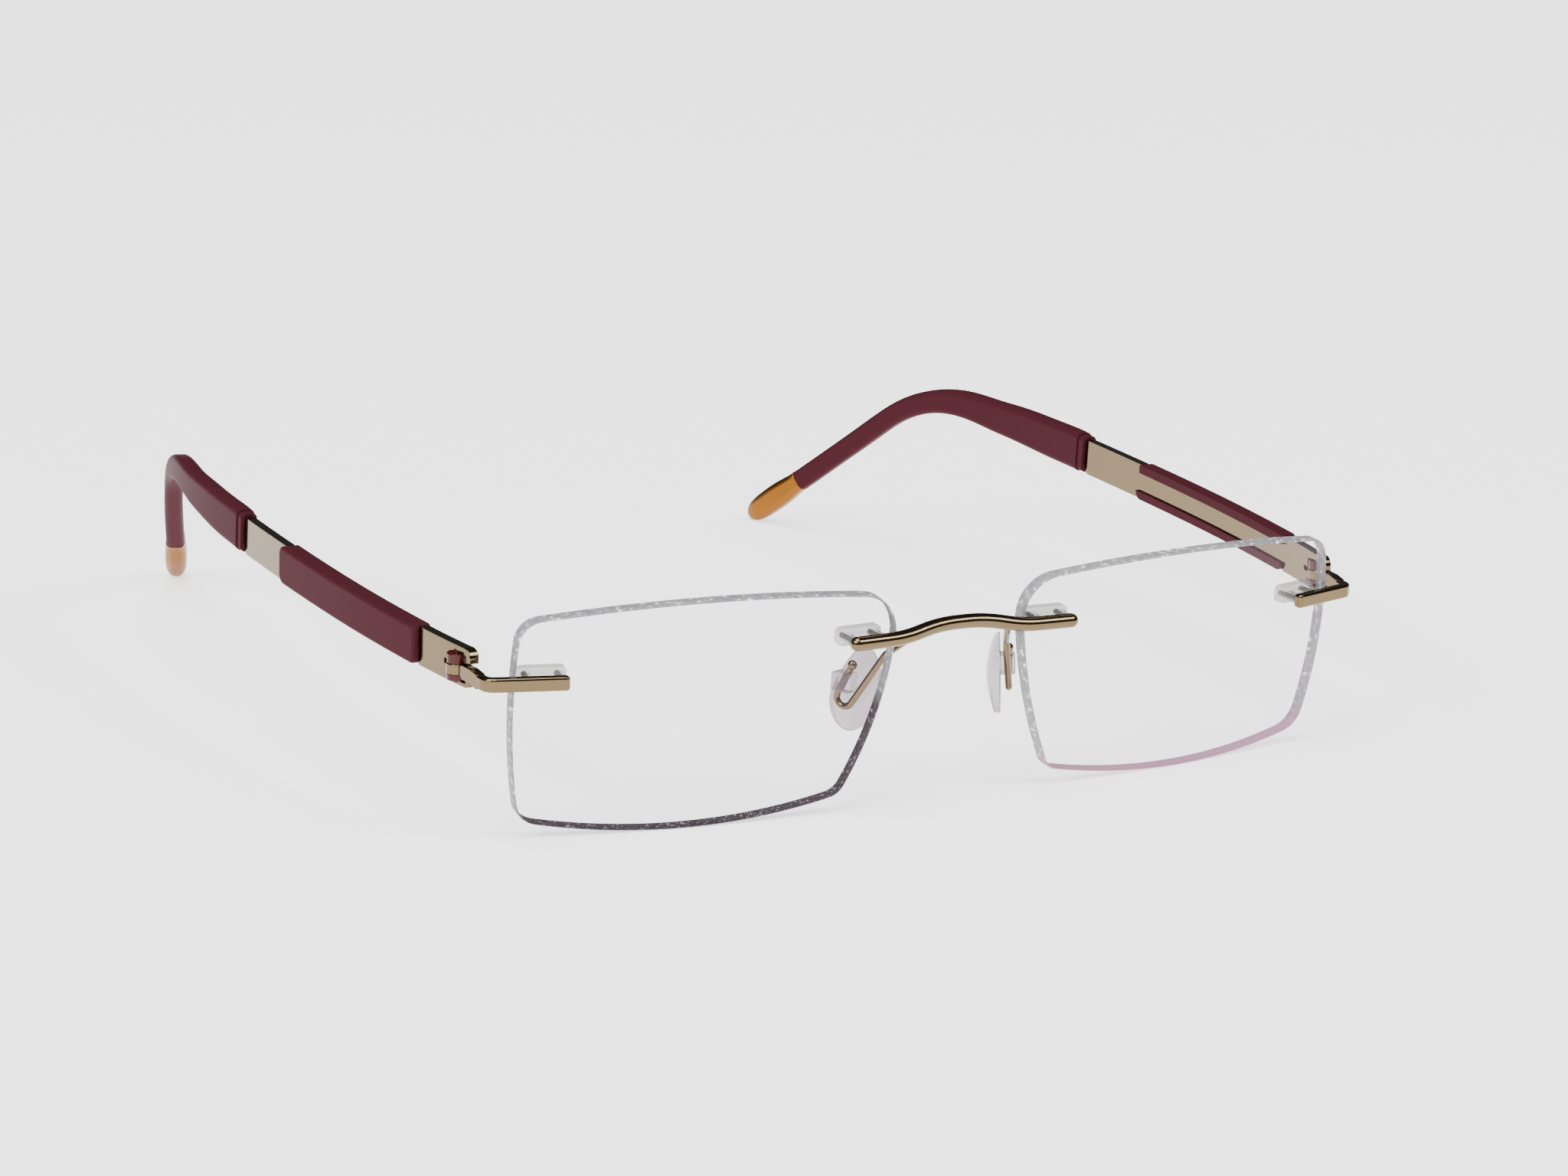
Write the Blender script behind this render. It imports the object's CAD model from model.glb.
import math

import bpy
from mathutils import Matrix, Vector


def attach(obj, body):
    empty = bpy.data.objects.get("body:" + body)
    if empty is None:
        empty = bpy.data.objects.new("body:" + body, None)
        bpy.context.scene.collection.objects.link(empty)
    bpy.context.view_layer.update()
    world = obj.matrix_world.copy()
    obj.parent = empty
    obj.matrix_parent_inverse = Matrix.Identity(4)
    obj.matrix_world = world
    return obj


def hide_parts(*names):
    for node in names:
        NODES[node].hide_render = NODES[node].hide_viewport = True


# Rimless eyeglasses: looks, lenses, floor, light and camera, on the frame's axes.
# Metres, but for the lens sizes, which are millimetres.

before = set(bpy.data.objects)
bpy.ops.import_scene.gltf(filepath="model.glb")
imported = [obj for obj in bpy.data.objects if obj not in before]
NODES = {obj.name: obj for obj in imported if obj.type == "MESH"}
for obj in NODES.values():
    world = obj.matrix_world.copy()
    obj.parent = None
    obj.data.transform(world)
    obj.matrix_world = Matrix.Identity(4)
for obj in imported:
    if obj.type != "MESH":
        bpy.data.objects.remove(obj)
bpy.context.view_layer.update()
SIDES = ("left", "right")
MM = 0.001


def srgb(red, green, blue):
    """A screen colour, 0 to 255, as the linear colour that shaders take."""
    linear = []
    for value in (red, green, blue):
        c = value / 255
        linear.append(c / 12.92 if c <= 0.04045 else ((c + 0.055) / 1.055) ** 2.4)
    return (*linear, 1)


# ---- materials -------------------------------------------------------------------------
WHITE = (1, 1, 1, 1)
BEVEL_SAMPLES = 8
GRAIN_DETAIL = 3
RIM_BLEND = 0.4               # how early a milky piece thickens towards its rim
EDGE_BLEND = 0.0014           # half the height over which a lens edge changes colour
EDGE_ROUGHNESS = 0.35
EDGE_SPECULAR = 0.06
LIGHT_FLECKS = (1400, 6)      # noise scale and detail
LOW_FLECKS = (2400, 5)


def material(name):
    made = bpy.data.materials.new(name)
    made.use_nodes = True
    tree = made.node_tree
    tree.nodes.clear()
    return made, tree, tree.nodes.new("ShaderNodeOutputMaterial")


def principled(tree, color, metallic, roughness, **sockets):
    shader = tree.nodes.new("ShaderNodeBsdfPrincipled")
    shader.inputs["Base Color"].default_value = color
    shader.inputs["Metallic"].default_value = metallic
    shader.inputs["Roughness"].default_value = roughness
    for socket, value in sockets.items():
        shader.inputs[socket.replace("_", " ")].default_value = value
    return shader


def soften_edges(tree, shader, radius):
    """Rounds every hard edge in the shading by a radius, as a tumbled or moulded edge is."""
    bevel = tree.nodes.new("ShaderNodeBevel")
    bevel.samples = BEVEL_SAMPLES
    bevel.inputs["Radius"].default_value = radius
    tree.links.new(bevel.outputs["Normal"], shader.inputs["Normal"])
    return bevel


def grain(tree, shader, bevel, scale, distance):
    """Fine surface grain on top of the softened edges."""
    noise = tree.nodes.new("ShaderNodeTexNoise")
    noise.inputs["Scale"].default_value = scale
    noise.inputs["Detail"].default_value = GRAIN_DETAIL
    coords = tree.nodes.new("ShaderNodeTexCoord")
    tree.links.new(coords.outputs["Object"], noise.inputs["Vector"])
    bump = tree.nodes.new("ShaderNodeBump")
    bump.inputs["Strength"].default_value = 1
    bump.inputs["Distance"].default_value = distance
    tree.links.new(noise.outputs["Fac"], bump.inputs["Height"])
    tree.links.new(bevel.outputs["Normal"], bump.inputs["Normal"])
    tree.links.new(bump.outputs["Normal"], shader.inputs["Normal"])


def solid_material(
        name, color, metallic, roughness, edge, grain_scale=0.0, grain_distance=0.0, **sockets):
    """Opaque material: its hard edges rounded by edge, with fine grain where a scale is given."""
    made, tree, output = material(name)
    shader = principled(tree, color, metallic, roughness, **sockets)
    bevel = soften_edges(tree, shader, edge)
    if grain_scale:
        grain(tree, shader, bevel, grain_scale, grain_distance)
    tree.links.new(shader.outputs[0], output.inputs["Surface"])
    return made


def outer_fresnel(tree, ior):
    """Share reflected at an outer surface; none where the piece is seen from inside."""
    fresnel = tree.nodes.new("ShaderNodeFresnel")
    fresnel.inputs["IOR"].default_value = ior
    side = tree.nodes.new("ShaderNodeNewGeometry")
    front = tree.nodes.new("ShaderNodeMath")
    front.operation = "SUBTRACT"
    front.inputs[0].default_value = 1
    tree.links.new(side.outputs["Backfacing"], front.inputs[1])
    share = tree.nodes.new("ShaderNodeMath")
    share.operation = "MULTIPLY"
    tree.links.new(fresnel.outputs[0], share.inputs[0])
    tree.links.new(front.outputs[0], share.inputs[1])
    return share


def milky(tree, clear, color, share, rim):
    """A clear shader with some milky body in it, and more of it towards the rim."""
    glow = tree.nodes.new("ShaderNodeBsdfTranslucent")
    glow.inputs["Color"].default_value = color
    diffuse = tree.nodes.new("ShaderNodeBsdfDiffuse")
    diffuse.inputs["Color"].default_value = color
    body = tree.nodes.new("ShaderNodeMixShader")
    body.inputs["Fac"].default_value = 0.5
    tree.links.new(glow.outputs[0], body.inputs[1])
    tree.links.new(diffuse.outputs[0], body.inputs[2])
    turned = tree.nodes.new("ShaderNodeLayerWeight")
    turned.inputs["Blend"].default_value = RIM_BLEND
    amount = tree.nodes.new("ShaderNodeMapRange")
    amount.inputs["To Min"].default_value = share
    amount.inputs["To Max"].default_value = share + rim
    tree.links.new(turned.outputs["Facing"], amount.inputs["Value"])
    mix = tree.nodes.new("ShaderNodeMixShader")
    tree.links.new(amount.outputs["Result"], mix.inputs["Fac"])
    tree.links.new(clear.outputs[0], mix.inputs[1])
    tree.links.new(body.outputs[0], mix.inputs[2])
    return mix


def thin_clear(name, tint, ior, roughness, sheen=WHITE, body=None, body_share=0.0, rim=0.0):
    """Clear sheet: straight through, with reflections that grow at grazing angles."""
    made, tree, output = material(name)
    through = tree.nodes.new("ShaderNodeBsdfTransparent")
    through.inputs["Color"].default_value = tint
    gloss = tree.nodes.new("ShaderNodeBsdfAnisotropic")
    gloss.inputs["Color"].default_value = sheen
    gloss.inputs["Roughness"].default_value = roughness
    base = milky(tree, through, body, body_share, rim) if body else through
    reflected = outer_fresnel(tree, ior)
    mix = tree.nodes.new("ShaderNodeMixShader")
    tree.links.new(reflected.outputs[0], mix.inputs["Fac"])
    tree.links.new(base.outputs[0], mix.inputs[1])
    tree.links.new(gloss.outputs[0], mix.inputs[2])
    tree.links.new(mix.outputs[0], output.inputs["Surface"])
    return made


def ramp_between(tree, factor, stops):
    """Colours that change with a factor, from (position, colour) pairs in order."""
    ramp = tree.nodes.new("ShaderNodeValToRGB")
    elements = ramp.color_ramp.elements
    while len(elements) < len(stops):
        elements.new(0.5)
    for element, (position, color) in zip(elements, stops):
        element.position = position
        element.color = color
    tree.links.new(factor, ramp.inputs["Fac"])
    return ramp.outputs["Color"]


def noise_factor(tree, coords, scale, detail):
    noise = tree.nodes.new("ShaderNodeTexNoise")
    noise.inputs["Scale"].default_value = scale
    noise.inputs["Detail"].default_value = detail
    tree.links.new(coords.outputs["Object"], noise.inputs["Vector"])
    return noise.outputs["Fac"]


def ground_edge(name, low_color, low_top, slant, clear_share):
    """Ground lens edge: light and frosted above, another colour below, with fine flecks.

    The line between the two is where height plus slant times x is low_top.
    """
    made, tree, output = material(name)
    coords = tree.nodes.new("ShaderNodeTexCoord")
    climb = tree.nodes.new("ShaderNodeVectorMath")
    climb.operation = "DOT_PRODUCT"
    climb.inputs[1].default_value = (slant, 0, 1)
    tree.links.new(coords.outputs["Object"], climb.inputs[0])
    height = tree.nodes.new("ShaderNodeMapRange")
    height.inputs["From Min"].default_value = low_top - EDGE_BLEND
    height.inputs["From Max"].default_value = low_top + EDGE_BLEND
    tree.links.new(climb.outputs["Value"], height.inputs["Value"])
    light = ramp_between(tree, noise_factor(tree, coords, *LIGHT_FLECKS), [
        (0.34, srgb(122, 121, 125)), (0.58, srgb(146, 145, 149)), (0.68, srgb(250, 250, 250))])
    low = ramp_between(tree, noise_factor(tree, coords, *LOW_FLECKS), [
        (0.4, low_color), (0.58, low_color), (0.7, srgb(150, 146, 150))])
    blend = tree.nodes.new("ShaderNodeMix")
    blend.data_type = "RGBA"
    tree.links.new(height.outputs["Result"], blend.inputs["Factor"])
    tree.links.new(low, blend.inputs["A"])
    tree.links.new(light, blend.inputs["B"])
    shader = principled(tree, WHITE, 0, EDGE_ROUGHNESS, Specular_IOR_Level=EDGE_SPECULAR)
    tree.links.new(blend.outputs["Result"], shader.inputs["Base Color"])
    through = tree.nodes.new("ShaderNodeBsdfTransparent")
    mix = tree.nodes.new("ShaderNodeMixShader")
    mix.inputs["Fac"].default_value = 1 - clear_share
    tree.links.new(through.outputs[0], mix.inputs[1])
    tree.links.new(shader.outputs[0], mix.inputs[2])
    tree.links.new(mix.outputs[0], output.inputs["Surface"])
    return made


GOLD = solid_material("gold_metal", srgb(108, 92, 67), metallic=1, roughness=0.14, edge=0.0002)
CAP_GOLD = solid_material(
    "cap_gold", srgb(134, 84, 30), metallic=1, roughness=0.36, edge=0.0003,
    grain_scale=3500, grain_distance=0.00001)
MAROON = solid_material(
    "maroon_plastic", srgb(64, 27, 34), metallic=0, roughness=0.42, edge=0.0002,
    grain_scale=2600, grain_distance=0.00001, Specular_IOR_Level=0.015)
ROLLER = solid_material(
    "roller_brown", srgb(66, 17, 15), metallic=0, roughness=0.14, edge=0.00012,
    Specular_IOR_Level=0.25)
LENS_FACE = thin_clear(
    "lens_clear", (0.985, 0.985, 0.985, 1), ior=1.32, roughness=0.0, sheen=(1, 0.74, 0.88, 1))
LENS_EDGES = {
    "right": ground_edge(
        "lens_edge_right", srgb(14, 10, 15), low_top=0.0173, slant=-0.255, clear_share=0.01),
    "left": ground_edge(
        "lens_edge_left", srgb(168, 118, 142), low_top=0.0036, slant=0, clear_share=0.04),
}
PLUG = thin_clear(
    "plug_clear", (0.9, 0.9, 0.89, 1), ior=1.5, roughness=0.08,
    body=srgb(176, 176, 172), body_share=0.3, rim=0.3)
PAD = thin_clear(
    "pad_silicone", (0.88, 0.84, 0.86, 1), ior=1.5, roughness=0.08,
    body=srgb(146, 130, 137), body_share=0.3, rim=0.5)

LOOKS = {
    "bridge": GOLD,
    "pad_arm": GOLD,
    "endpiece": GOLD,
    "temple_plate": GOLD,
    "tip_cap": CAP_GOLD,
    "temple_sleeve": MAROON,
    "temple_tip": MAROON,
    "hinge_roller": ROLLER,
    "nasal_plug": PLUG,
    "temporal_plug": PLUG,
    "nose_pad": PAD,
}


def kind_of(node):
    """A node's name without its side."""
    for side in SIDES:
        if node.endswith("_" + side):
            return node[: -len(side) - 1]
    return node


for node_name, node in NODES.items():
    look = LOOKS.get(kind_of(node_name))
    if look:
        node.data.materials.clear()
        node.data.materials.append(look)

# ---- lenses: two spherical faces and a ground edge with a fine chamfer -------------------
LENS_WIDTH = 49.0
LENS_HEIGHT = 29.1
BRIDGE_GAP = 18.0
FRONT_RADIUS = 132.5
LENS_THICK = 1.8
FACE_WRAP = 6.2
LENS_TILT = 6.3
MID_Y = 67.8
REST_SINK = 0.093
CHAMFER = 0.22
CORNER_RADII = (3.3, 5.4, 2.6, 3.4)
BULGES = (1.92, 1.55, 1.97, 1.15)
NASAL_OUT = 0.24              # nasal and temporal corners, past and short of the half width
TEMPORAL_IN = 0.6
TOP_IN = (2.19, 1.59)         # temporal and nasal top corners, below the half height
BOTTOM_IN = (1.58, 2.32)      # the same for the bottom corners
NASAL_CUT = 6.2               # nasal bottom corner, in from the top one
TEMPORAL_CUT = 1.27
CORNER_STEPS = 20
SIDE_STEPS = 60
RING_SHARES = (0.12, 0.25, 0.4, 0.55, 0.7, 0.85, 0.95)
SMOOTH_BELOW = 25             # degrees


def lens_corners():
    """Corners of the lens before its sides bow out: top temporal, top nasal, then below."""
    half_w, half_h = LENS_WIDTH / 2, LENS_HEIGHT / 2
    nasal = -half_w - NASAL_OUT
    temporal = half_w - TEMPORAL_IN
    return [
        Vector((temporal, half_h - TOP_IN[0])),
        Vector((nasal, half_h - TOP_IN[1])),
        Vector((nasal + NASAL_CUT, -half_h + BOTTOM_IN[1])),
        Vector((temporal - TEMPORAL_CUT, -half_h + BOTTOM_IN[0])),
    ]


def side_circle(a, b, bulge):
    """Centre and radius of the arc from a to b that bows outwards."""
    chord = b - a
    radius = (chord.length ** 2 / 4 + bulge ** 2) / (2 * bulge)
    outward = Vector((chord.y, -chord.x)).normalized()
    return (a + b) / 2 + outward * (bulge - radius), radius


def meeting_point(one, one_radius, two, two_radius, near):
    """Where two circles cross, nearest to a point."""
    gap = two - one
    along = (one_radius ** 2 - two_radius ** 2 + gap.length ** 2) / (2 * gap.length)
    aside = math.sqrt(one_radius ** 2 - along ** 2)
    unit = gap.normalized()
    foot = one + unit * along
    swing = Vector((-unit.y, unit.x)) * aside
    return min((foot + swing, foot - swing), key=lambda p: (p - near).length)


def arc(centre, start, end, count):
    """Points along the shorter arc about a centre, without the last."""
    first = math.atan2(start.y - centre.y, start.x - centre.x)
    turn = math.atan2(end.y - centre.y, end.x - centre.x) - first
    turn = (turn + math.pi) % (2 * math.pi) - math.pi
    radius = (start - centre).length
    angles = [first + turn * i / count for i in range(count)]
    return [centre + Vector((math.cos(a), math.sin(a))) * radius for a in angles]


def lens_outline():
    """Points round the lens: four bowed sides joined by tangent corner arcs."""
    corners = lens_corners()
    circles = [side_circle(corners[i], corners[(i + 1) % 4], BULGES[i]) for i in range(4)]
    rounds = []
    for i, radius in enumerate(CORNER_RADII):
        (one, r_one), (two, r_two) = circles[i - 1], circles[i]
        centre = meeting_point(one, r_one - radius, two, r_two - radius, corners[i])
        enter = one + (centre - one).normalized() * r_one
        leave = two + (centre - two).normalized() * r_two
        rounds.append((centre, enter, leave))
    points = []
    for i in range(4):
        centre, enter, leave = rounds[i]
        points += arc(centre, enter, leave, CORNER_STEPS)
        points += arc(circles[i][0], leave, rounds[(i + 1) % 4][1], SIDE_STEPS)
    return points


def inset_outline(points, distance):
    """The outline moved inwards, square to itself."""
    moved = []
    for i, point in enumerate(points):
        tangent = points[(i + 1) % len(points)] - points[i - 1]
        inward = Vector((-tangent.y, tangent.x)).normalized()
        moved.append(point + inward * distance)
    return moved


def lens_loops():
    """Closed loops over the lens, from the middle of its front over the edge to the back."""
    outline = lens_outline()
    rim = inset_outline(outline, CHAMFER)
    back_radius = FRONT_RADIUS - LENS_THICK

    def depth(point, radius):
        return math.sqrt(radius ** 2 - point.length_squared) - FRONT_RADIUS

    def face_loop(share, radius):
        return [(p * share, depth(p * share, radius)) for p in rim]

    shares = (*RING_SHARES, 1.0)
    front = [face_loop(share, FRONT_RADIUS) for share in shares]
    edge = [
        [(p, depth(p, FRONT_RADIUS) - CHAMFER) for p in outline],
        [(p, depth(p, back_radius) + CHAMFER) for p in outline],
    ]
    back = [face_loop(share, back_radius) for share in reversed(shares)]
    return front + edge + back


def lens_mesh(side):
    """Lens in its own axes, in millimetres: slot 0 on its two faces, slot 1 on its edge."""
    loops = lens_loops()
    count = len(loops[0])
    vertices = [(p.x, p.y, z) for loop in loops for p, z in loop]
    faces = []
    slots = []
    first_edge_row = len(RING_SHARES)
    for row in range(len(loops) - 1):
        below = row * count
        above = below + count
        for i in range(count):
            j = (i + 1) % count
            faces.append((below + i, below + j, above + j, above + i))
            slots.append(1 if first_edge_row <= row <= first_edge_row + 2 else 0)
    middle = len(vertices)
    vertices.append((0, 0, 0))
    vertices.append((0, 0, -LENS_THICK))
    last = (len(loops) - 1) * count
    for i in range(count):
        j = (i + 1) % count
        faces.append((middle, j, i))
        faces.append((middle + 1, last + i, last + j))
        slots += [0, 0]
    mesh = bpy.data.meshes.new("lens_glass_" + side)
    mesh.from_pydata(vertices, [], faces)
    mesh.materials.append(LENS_FACE)
    mesh.materials.append(LENS_EDGES[side])
    mesh.polygons.foreach_set("material_index", slots)
    return mesh


def lens_place():
    """Where the lens sits on the wearer's left, from its height, tilt and wrap."""
    height = LENS_HEIGHT / 2 * math.cos(math.radians(LENS_TILT)) - REST_SINK
    return (
        Matrix.Translation(((BRIDGE_GAP + LENS_WIDTH) / 2, -MID_Y, height))
        @ Matrix.Rotation(math.radians(LENS_TILT), 4, "X")
        @ Matrix.Rotation(math.radians(FACE_WRAP), 4, "Z")
        @ Matrix.Rotation(math.radians(90), 4, "X")
    )


def make_lens(side):
    mesh = lens_mesh(side)
    mirror = Matrix.Scale(-1 if side == "right" else 1, 4, Vector((1, 0, 0)))
    mesh.transform(Matrix.Scale(MM, 4) @ mirror @ lens_place())
    if side == "left":
        mesh.flip_normals()
    mesh.shade_smooth()
    mesh.set_sharp_from_angle(angle=math.radians(SMOOTH_BELOW))
    lens = bpy.data.objects.new("lens_glass_" + side, mesh)
    bpy.context.scene.collection.objects.link(lens)
    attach(lens, "front")
    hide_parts("lens_" + side)


for lens_side in SIDES:
    make_lens(lens_side)


# ---- floor, light and camera -------------------------------------------------------------
FLOOR_REACH = 6.0
FLOOR_COLOR = (0.92, 0.92, 0.92, 1)
FLOOR_ROUGHNESS = 0.8
FLOOR_GLOW = 1.5
ROOM_LIGHT = 0.08
SUN_ANGLE = 45                # degrees
SOFTBOX = (0.8, 0.5)
SPARK = (0.1, 0.1)
FOCAL_LENGTH = 115.84
SENSOR_WIDTH = 36
CAMERA_PLACE = Vector((-306.26, -577.83, 180.01)) * MM
CAMERA_RIGHT = Vector((0.8786, -0.47647, 0.03231))
CAMERA_UP = Vector((0.0918, 0.23489, 0.96768))


def make_floor():
    mesh = bpy.data.meshes.new("floor")
    signs = ((-1, -1), (1, -1), (1, 1), (-1, 1))
    corners = [(x * FLOOR_REACH, y * FLOOR_REACH, 0) for x, y in signs]
    mesh.from_pydata(corners, [], [(0, 1, 2, 3)])
    floor = bpy.data.objects.new("floor", mesh)
    made, tree, output = material("floor")
    shader = principled(tree, FLOOR_COLOR, 0, FLOOR_ROUGHNESS, Emission_Strength=FLOOR_GLOW)
    shader.inputs["Emission Color"].default_value = WHITE
    tree.links.new(shader.outputs[0], output.inputs["Surface"])
    mesh.materials.append(made)
    bpy.context.scene.collection.objects.link(floor)


def aim(thing, direction):
    thing.rotation_euler = direction.to_track_quat("-Z", "Y").to_euler()


def area_light(name, place, size, power):
    """Rectangular light that faces the object."""
    data = bpy.data.lights.new(name, "AREA")
    data.shape = "RECTANGLE"
    data.size, data.size_y = size
    data.energy = power
    light = bpy.data.objects.new(name, data)
    light.location = place
    aim(light, -Vector(place))
    bpy.context.scene.collection.objects.link(light)


def sun_light(name, direction, strength):
    data = bpy.data.lights.new(name, "SUN")
    data.angle = math.radians(SUN_ANGLE)
    data.energy = strength
    light = bpy.data.objects.new(name, data)
    aim(light, Vector(direction))
    bpy.context.scene.collection.objects.link(light)


def make_world():
    world = bpy.data.worlds.new("room")
    world.use_nodes = True
    background = world.node_tree.nodes["Background"]
    background.inputs["Color"].default_value = WHITE
    background.inputs["Strength"].default_value = ROOM_LIGHT
    bpy.context.scene.world = world


def make_camera():
    data = bpy.data.cameras.new("camera")
    data.lens = FOCAL_LENGTH
    data.sensor_width = SENSOR_WIDTH
    data.clip_start = 0.01
    data.clip_end = 20
    camera = bpy.data.objects.new("camera", data)
    back = CAMERA_RIGHT.cross(CAMERA_UP)
    turn = Matrix((CAMERA_RIGHT, CAMERA_UP, back)).transposed().to_4x4()
    camera.matrix_world = Matrix.Translation(CAMERA_PLACE) @ turn
    bpy.context.scene.collection.objects.link(camera)
    bpy.context.scene.camera = camera


make_floor()
make_world()
sun_light("overhead", (0.2, 0.15, -1), 3.4)
area_light("softbox_left", (-1.3, -0.5, 1.0), SOFTBOX, 20)
area_light("softbox_right", (0.9, -1.1, 1.3), SOFTBOX, 16)
area_light("spark_front", (-0.5, -1.0, 0.9), SPARK, 1.2)
area_light("spark_side", (0.5, -0.6, 1.1), SPARK, 1.2)
make_camera()
